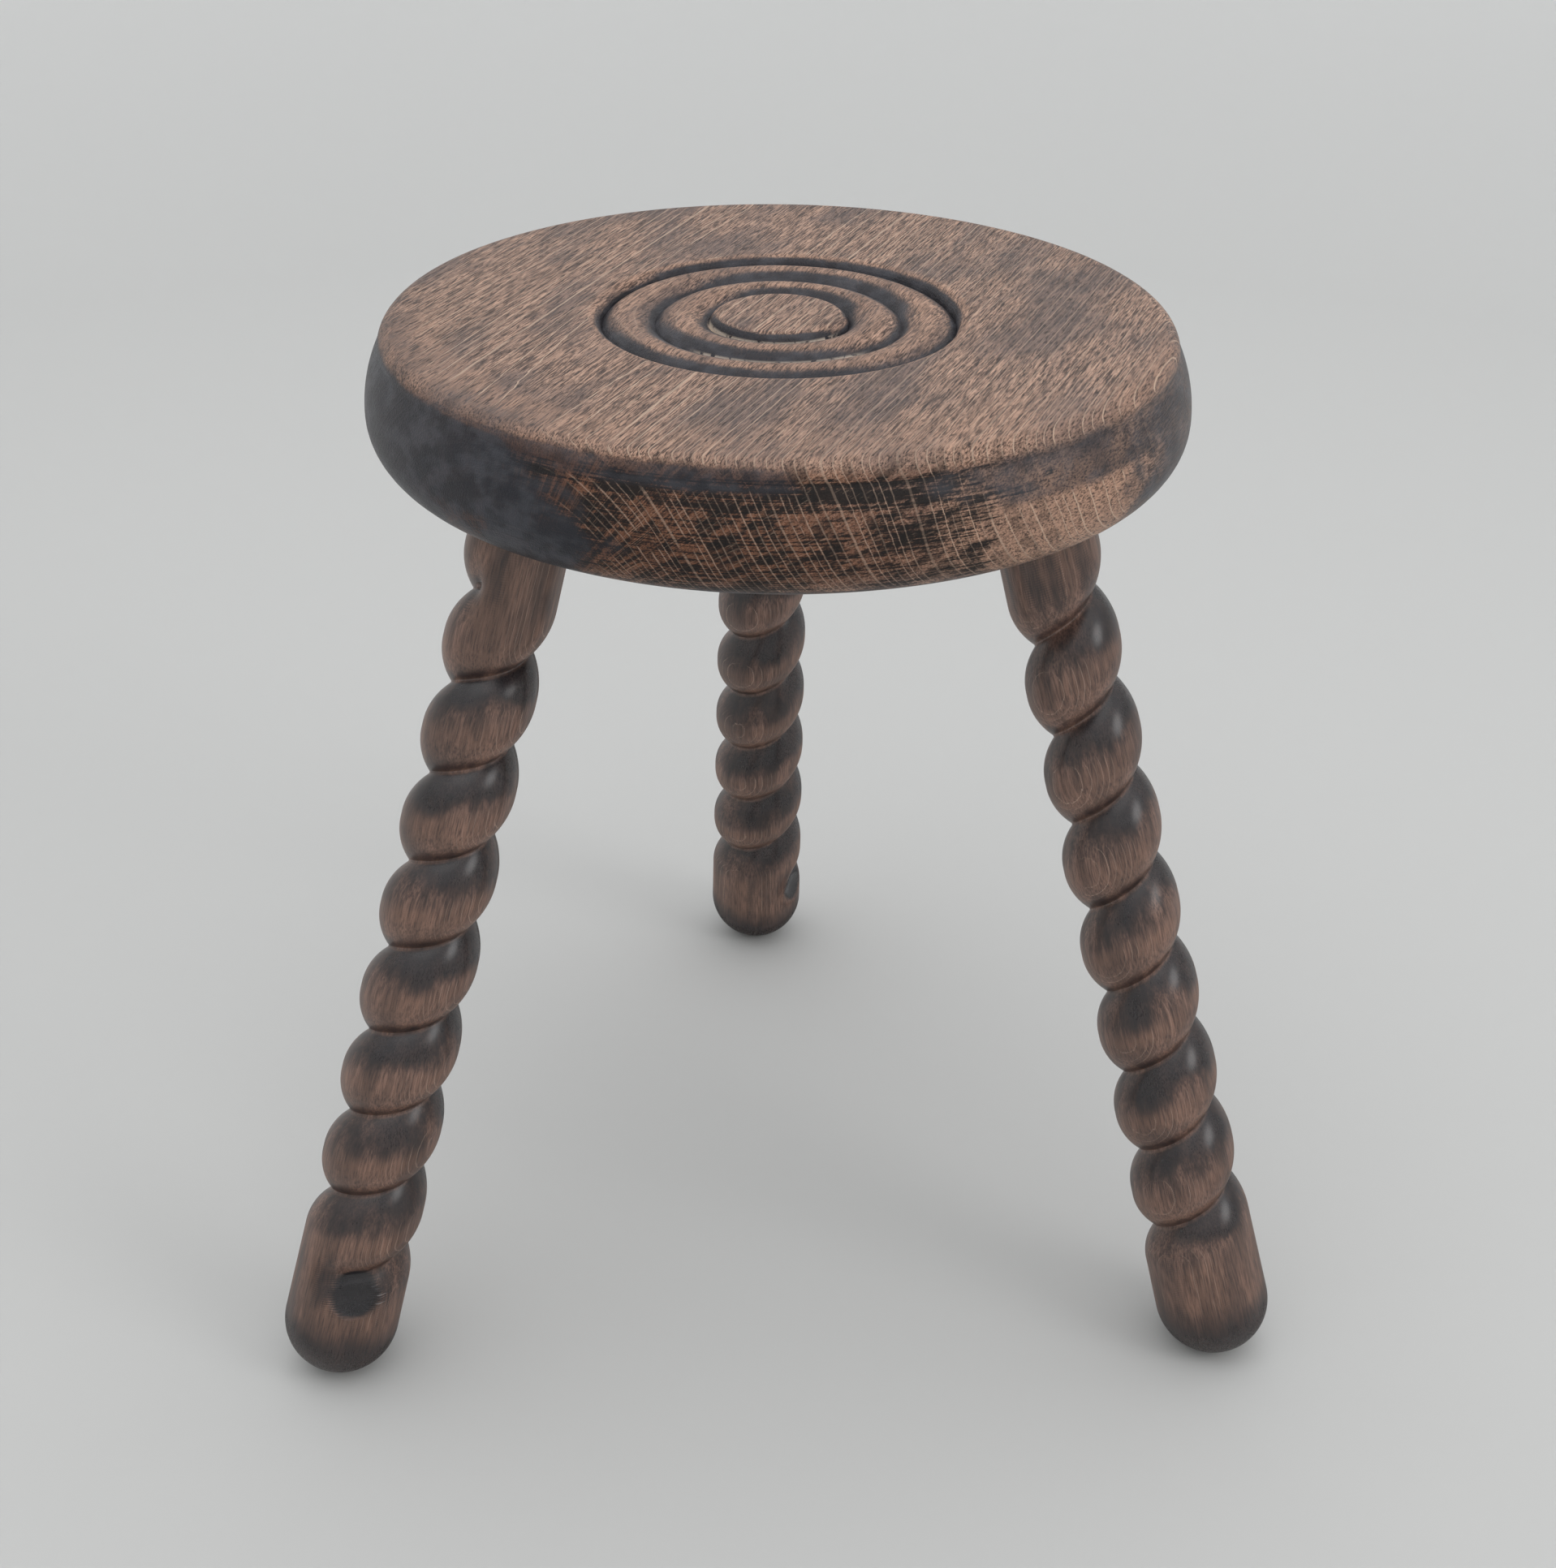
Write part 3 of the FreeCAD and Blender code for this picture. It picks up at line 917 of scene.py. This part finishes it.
# %% [markdown]
# ## The two woods
# The seat's grain is open and rough, and the lathe has left fine lines round it in which the soot lies in
# thin streaks. The legs are finer: their grain is fainter, their soot softer and their wax shinier. So
# each wood comes with its own tones and its own list of strengths. Tones are written as they are read off
# a screen, because that is how a finisher compares them, and made linear for the shader.

# %% Wood of the seat


def paint(red, green, blue):
    """A colour as it is read off a screen, made linear for the shader."""
    return [((c / 255 + 0.055) / 1.055) ** 2.4 if c > 10 else c / 3294 for c in (red, green, blue)] + [1.0]


# Some tones also paint light and shade: smoke is also painted shade in the valleys and at the left of the
# rim, dust is also painted sheen, and worn is also painted light on the scuffed place at the front right.
seat_tones = {
    "brown": paint(72, 53, 46), "tan": paint(204, 166, 144), "smoky": paint(94, 83, 82),
    "rust": paint(120, 76, 52), "deep": paint(44, 33, 31), "pale": paint(208, 180, 158),
    "worn_and_lit": paint(192, 151, 126), "soot": paint(18, 15, 15), "smoke": paint(42, 43, 49),
    "dust_and_sheen": paint(66, 67, 73), "bare": paint(226, 208, 190)}
seat_strength = {
    "streaks": 0.18, "streak_width": 1.1, "patches": 0.66, "patch_width": 26, "end_grain": 0.85, "rings": 0.2,
    "wear": 0.6, "dashes": 0.8, "rays": 0.65, "years": 0.75, "lines": 0.86, "upright_line": 0.45,
    "flat_line": 0.95, "soot": 0.95, "smoke": 0.95, "bare": 0.9, "ragged": 1.1, "soft": 0.22,
    "bump": 0.7, "matt": 0.34, "uneven": 0.25, "wax": 0.24}
seat_beech = stained_beech("seat_beech", ring_step=2.1, ray_radius=110, lathe_size=(40, 40, 0.55),
                           tones=seat_tones, strength=seat_strength)

# %% Wood of the legs
# Some tones also paint light and shade: soot and smoke are also painted shade in the grooves, dust is also
# painted sheen, and worn is also the painted highlight on the lips.
leg_tones = {
    "brown": paint(84, 63, 56), "tan": paint(141, 109, 95), "smoky": paint(44, 34, 33),
    "rust": paint(98, 72, 60), "deep": paint(42, 33, 32), "pale": paint(190, 162, 144),
    "worn_and_lit": paint(150, 112, 92), "soot": paint(22, 19, 21), "smoke": paint(28, 26, 30),
    "dust_and_sheen": paint(37, 34, 37), "bare": paint(206, 186, 166)}
leg_strength = {
    "streaks": 0.56, "streak_width": 2.6, "patches": 0.74, "patch_width": 9, "end_grain": 0.55, "rings": 0.1,
    "wear": 0.45, "dashes": 0.14, "rays": 0.12, "years": 0.1, "lines": 0.66, "upright_line": 0.15,
    "flat_line": 0.95, "soot": 0.92, "smoke": 0.86, "bare": 0.0, "ragged": 0.5, "soft": 0.3,
    "bump": 0.015, "matt": 0.33, "uneven": 0.05, "wax": 0.6}
leg_beech = stained_beech("leg_beech", ring_step=1.1, ray_radius=65, lathe_size=(9, 9, 9),
                          tones=leg_tones, strength=leg_strength)

# %% [markdown]
# ## Hand the pieces over
# Every piece stands for one CAD node and rides on the stool's single body.

# %% Ride, replace and finish
for piece, node, slot, wood in [(seat, "seat", "seat_wood", seat_beech)] + [
        (leg, name, "leg_wood", leg_beech) for name, leg in legs.items()]:
    piece.data.materials.clear()
    piece.data.materials.append(wood)
    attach(piece, "root")
    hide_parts(node)
